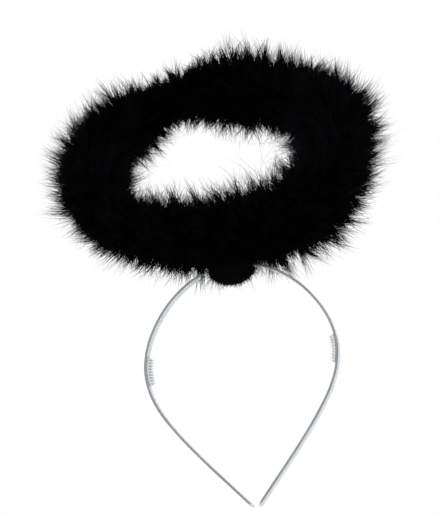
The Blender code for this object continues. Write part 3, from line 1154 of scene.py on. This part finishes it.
@dataclass
class Comb:
    """A small comb on the strap's inner face: a thin base and a row of ribs."""

    # Heights up a rib as shares, and how much of its tapered thickness is left there
    RIB_LEVELS = ((0.0, 1.0), (0.3, 1.0), (0.6, 1.0), (0.82, 1.0), (0.94, 0.8))
    # How much of the map's height the base takes, and how far across it a rib's outline goes
    BASE_MAP, RIB_MAP = 0.1, 0.02

    strap: Strap
    side: Side
    teeth: int = 9
    pitch: float = 0.00193
    down: float = 0.0918
    stagger: float = 0.0032
    width: float = 0.0060
    base: float = 0.0010
    tooth_height: float = 0.0019
    tooth_root: float = 0.0013
    tooth_tip: float = 0.0005
    end: float = 0.0006
    clearance: float = 0.0003
    # The base's rings, its round ends, their least width as a share, and its corners' radius
    base_stations: int = 41
    end_round: float = 0.001
    end_least: float = 0.02
    corner_share: float = 0.3
    corner_steps: int = 4
    # How deep the ribs stand in the base, as a share of its thickness
    sunk: float = 0.1
    # A rib's rings, the thickness left at its top, and how its ends drop away
    rib_stations: int = 9
    top_share: float = 0.18
    rib_drop: float = 0.35
    drop_power: int = 6

    @property
    def node(self) -> str:
        """The comb's node name."""
        return "comb_" + self.side.name.lower()

    @property
    def middle(self) -> float:
        """The distance of the comb's middle along the strap."""
        return self.strap.length / 2 + self.side.value * self.down + self.stagger / 2

    def _beside(self, distance: np.ndarray, depth: float | np.ndarray) -> np.ndarray:
        """Points inside the strap at distances along it and a depth from its middle line."""
        return self.strap.spot(distance) + self._inward(distance) * depth

    def _inward(self, distance: np.ndarray) -> np.ndarray:
        """Unit directions away from the strap's inner face."""
        return np.cross([0.0, 1.0, 0.0], self.strap.heading(distance))

    def build(self, material: bpy.types.Material) -> list[bpy.types.Object]:
        """Builds the comb's base and its ribs."""
        return [self._base_strip(material), self._ribs(material)]

    def _base_strip(self, material: bpy.types.Material) -> bpy.types.Object:
        """Builds the base that lies along the strap, with round ends and edges."""
        half = self.pitch * (self.teeth - 1) / 2 + self.tooth_root / 2 + self.end
        turn = np.linspace(-1, 1, self.base_stations)
        stops = self.middle + half * np.sin(turn * math.pi / 2)
        past = np.maximum(0, np.abs(stops - self.middle) - half + self.end_round) / self.end_round
        share = np.sqrt(np.clip(1 - past**2, self.end_least, 1))
        seat = self.strap.thickness / 2 + self.clearance
        corner = self.base * self.corner_share
        section = round_rectangle(self.width / 2, 0.0, self.base, corner, self.corner_steps)
        sides = len(section)
        points = np.zeros((len(stops), sides, 3))
        for j, (y, z) in enumerate(section):
            points[:, j] = self._beside(stops, seat + z)
            points[:, j, 1] = y * share
        faces = rod_faces(len(stops), sides)
        made = mesh_piece(self.node + "_base", points.reshape(-1, 3), faces, material)
        heights = [self.BASE_MAP * side / sides for side in range(sides)]
        map_points(made, [(i / len(stops), up) for i in range(len(stops)) for up in heights])
        return made

    def _ribs(self, material: bpy.types.Material) -> bpy.types.Object:
        """Stands the ribs in their row."""
        row = self.middle + self.pitch * (np.arange(self.teeth) - (self.teeth - 1) / 2)
        floor = self.strap.thickness / 2 + self.clearance + self.base * (1 - self.sunk)
        line = mesh_piece(self.node + "_row", self._beside(row, floor), [])
        write_layer(line, "inward", self._inward(row))
        rib = self._rib()
        values = {"Rib": rib, "Finish": material}
        made = grown(line, RibRule(self.node + " ribs"), values, self.node + "_ribs")
        for helper in (line, rib):
            bpy.data.objects.remove(helper, do_unlink=True)
        return made

    def _rib(self) -> bpy.types.Object:
        """Makes one rib on the origin: along X as thick as a tooth, along Y as wide as the comb."""
        top = self.tooth_height + self.base * self.sunk
        outline = []
        for share, left in self.RIB_LEVELS:
            thick = self.tooth_root + (self.tooth_tip - self.tooth_root) * share
            outline.append((thick / 2 * left, top * share))
        outline.append((self.tooth_tip * self.top_share, top))
        profile = outline + [(-x, z) for x, z in reversed(outline)]
        points, spots, count = [], [], len(profile)
        for number, station in enumerate(np.linspace(-1, 1, self.rib_stations)):
            y = self.width / 2 * math.sin(station * math.pi / 2)
            drop = 1 - self.rib_drop * abs(station) ** self.drop_power
            for side, (x, z) in enumerate(profile):
                points.append((x * drop, y, z * drop))
                across = number / self.rib_stations + self.RIB_MAP * side / count
                spots.append((across, z * drop / top))
        faces = rod_faces(self.rib_stations, count)
        made = mesh_piece(self.node + "_rib", np.array(points), faces)
        map_points(made, spots)
        return made


@dataclass
class PhotoCamera:
    """The photograph's view, as pixels of its 440 by 514 frame and metres."""

    azimuth: float = math.radians(12.318)
    elevation: float = math.radians(-15.521)
    roll: float = math.radians(5.938)
    distance: float = 1.3862
    aim: tuple[float, float, float] = (-0.00655, 0.0, 0.00764)
    focal_pixels: float = 2274.2
    frame_width: int = 440
    sensor: float = 36.0

    def place(self) -> None:
        """Makes the scene's camera."""
        a, e, r = self.azimuth, self.elevation, self.roll
        back = Vector((math.sin(a) * math.cos(e), -math.cos(a) * math.cos(e), math.sin(e)))
        right = (-back).cross(Vector((0, 0, 1))).normalized()
        up = right.cross(-back)
        across = right * math.cos(r) - up * math.sin(r)
        upward = right * math.sin(r) + up * math.cos(r)
        eye = Vector(self.aim) + back * self.distance
        data = bpy.data.cameras.new("photo view")
        data.sensor_fit = "HORIZONTAL"
        data.sensor_width = self.sensor
        data.lens = self.focal_pixels * self.sensor / self.frame_width
        made = placed("photo view", data)
        made.matrix_world = Matrix(
            [[across[i], upward[i], back[i], eye[i]] for i in range(3)] + [[0, 0, 0, 1]]
        )
        bpy.context.scene.camera = made


@dataclass
class Studio:
    """A plain pale room: white all round, a pale floor and two soft lamps."""

    floor_drop: float = 0.52
    floor_size: float = 40.0
    white: float = 1.0

    def build(self) -> None:
        """Makes the world, the floor and the lamps."""
        world = bpy.data.worlds.new("white room")
        world.use_nodes = True
        ground = world.node_tree.nodes["Background"]
        ground.inputs["Color"].default_value = (1.0, 1.0, 1.0, 1.0)
        ground.inputs["Strength"].default_value = self.white
        bpy.context.scene.world = world
        bpy.context.scene.view_settings.view_transform = "Standard"
        h, z = self.floor_size / 2, -self.floor_drop
        corners = np.array([(-h, -h, z), (h, -h, z), (h, h, z), (-h, h, z)])
        floor = mesh_piece("floor", corners, [(0, 1, 2, 3)], FloorFinish().material("pale floor"))
        self._lamp("front lamp", (0.5, -1.2, 0.9), size=0.9, power=6.0)
        self._lamp("back lamp", (-0.6, 1.0, 1.1), size=0.9, power=4.0)

    @staticmethod
    def _lamp(name: str, place: tuple[float, float, float], size: float, power: float) -> None:
        """Adds a soft square lamp that looks at the object."""
        data = bpy.data.lights.new(name, "AREA")
        data.size = size
        data.energy = power
        lamp = placed(name, data)
        lamp.location = place
        lamp.rotation_euler = (-Vector(place)).to_track_quat("-Z", "Y").to_euler()


def surface_area(made: bpy.types.Object) -> float:
    """The area of an object's faces, in square metres."""
    return sum(face.area for face in made.data.polygons)


def settle(piece: bpy.types.Object, slot: str, *nodes: str) -> None:
    """Lets a finished piece ride on the frame.

    Args:
        piece: The piece.
        slot: The record's material slot for it. Not used.
        *nodes: The nodes that it stands for.
    """
    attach(piece, "root")
    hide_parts(*nodes)
    triangles = sum(len(face.vertices) - 2 for face in piece.data.polygons)
    LOG.info("%s: %d triangles", piece.name, triangles)


FILL_A = Coat(
    "down_fill_a", 4000, 1, 0.0032, 0.30, 0.00080, lean=0.20, lock_pull=0.5, lock_lean=0.1,
    lock_spread=0.1,
)
FILL_B = Coat(
    "down_fill_b", 30000, 2, 0.0034, 0.25, 0.00066, lean=0.10, lock_size=0.0036, lock_pull=0.9,
    lock_spread=0.10,
)
LOCK_A = Coat(
    "down_lock_a", 36000, 3, 0.0134, 0.32, 0.00044, lean=0.05, lock_size=0.0036, lock_pull=1.18,
    lock_lean=0.62, lock_spread=0.46, curl=0.35,
)
LOCK_B = Coat(
    "down_lock_b", 12000, 4, 0.0124, 0.32, 0.00054, lean=0.06, lock_size=0.0036, lock_pull=1.08,
    lock_lean=0.62, lock_spread=0.46, curl=0.50, kind=BarbKind.BENT,
)
STRANDS_A = Coat(
    "down_strands_a", 11900, 5, 0.0132, 0.28, 0.00054, lean=0.10, lock_size=0.0036, lock_pull=1.10,
    lock_lean=0.65, lock_spread=0.44, curl=0.80, kind=BarbKind.BENT,
)
STRANDS_B = Coat(
    "down_strands_b", 10000, 10, 0.0146, 0.34, 0.00036, lean=0.30, lock_pull=0.5, lock_lean=0.55,
    lock_spread=0.20, curl=1.10, kind=BarbKind.BENT,
)
WISPS = Coat(
    "down_wisps", 2400, 6, 0.0190, 0.24, 0.00024, lean=0.42, lock_pull=0.0, lock_spread=0.05,
    curl=0.90, kind=BarbKind.WISP,
)
HOLE_HAIRS = Coat(
    "down_hole_hairs", 160, 9, 0.028, 0.35, 0.00020, lean=0.45, lock_pull=0.0, lock_spread=0.05,
    curl=1.60, hole_side=1.0, kind=BarbKind.WISP,
)
COATS = (FILL_A, FILL_B, LOCK_A, LOCK_B, STRANDS_A, STRANDS_B, WISPS, HOLE_HAIRS)

KNOT_FUZZ = Coat(
    "knot_fuzz", 2600, 7, 0.0022, 0.50, 0.00030, lean=0.60, lock_size=0.0018, lock_pull=0.9
)
KNOT_TUFTS = Coat(
    "knot_tufts", 420, 8, 0.0036, 0.35, 0.00042, lean=0.30, lock_size=0.0040, lock_pull=1.0,
    kind=BarbKind.BENT,
)
KNOT_COATS = (KNOT_FUZZ, KNOT_TUFTS)


def grow_coats(
    ground: bpy.types.Object, coats: tuple[Coat, ...], finish_name: str
) -> list[bpy.types.Object]:
    """Grows coats of barbs on a ground.

    Args:
        ground: The piece that they stand on, with its stoutness as an attribute.
        coats: The coats.
        finish_name: What to call their finish.

    Returns:
        The coats' pieces.
    """
    finish = DownFinish().material(finish_name)
    rule = BarbRule("stand barbs")
    shapes = {kind: Barb(kind.name.lower() + " barb", kind.value).build() for kind in BarbKind}
    area = surface_area(ground)
    made = []
    for coat in coats:
        values = {key: getattr(coat, key.lower().replace(" ", "_")) for key in rule.FROM_COAT}
        values |= {"Barb": shapes[coat.kind], "Density": coat.barbs / area}
        values |= {"Seed": coat.seed, "Finish": finish}
        made.append(grown(ground, rule, values, coat.name))
    for helper in shapes.values():
        bpy.data.objects.remove(helper, do_unlink=True)
    return made


def main() -> None:
    """Builds the looks round the frame."""
    logging.basicConfig(level=logging.INFO, format="%(message)s")
    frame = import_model()
    PhotoCamera().place()
    Studio().build()

    ring = DownRing()
    ground = ring.ground(PileFinish().material("down ground"))
    coats = grow_coats(ground, COATS, "black down")
    settle(ground, "black_down", "halo_down")
    for coat in coats:
        settle(coat, "black_down", "halo_down")

    knot = Knot()
    thread = ThreadFinish().material("black thread")
    core = knot.core(PileFinish().material("knot ground"))
    fuzz = grow_coats(core, KNOT_COATS, "knot fuzz")
    settle(core, "black_cloth", "binding")
    settle(knot.winding(thread), "black_cloth", "binding")
    for coat in fuzz:
        settle(coat, "black_down", "binding")

    strap = Strap()
    clear = ClearPlasticFinish().material("clear plastic")
    settle(strap.build(clear), "clear_plastic", "headband")
    milky = CombPlasticFinish().material("comb plastic")
    for side in Side:
        comb = Comb(strap, side)
        for piece in comb.build(milky):
            settle(piece, "comb_plastic", comb.node)
    wire = frame["nodes"]["halo_wire"]
    wire.data.materials.clear()
    wire.data.materials.append(SteelFinish().material("steel wire"))


if __name__ == "__main__":
    main()
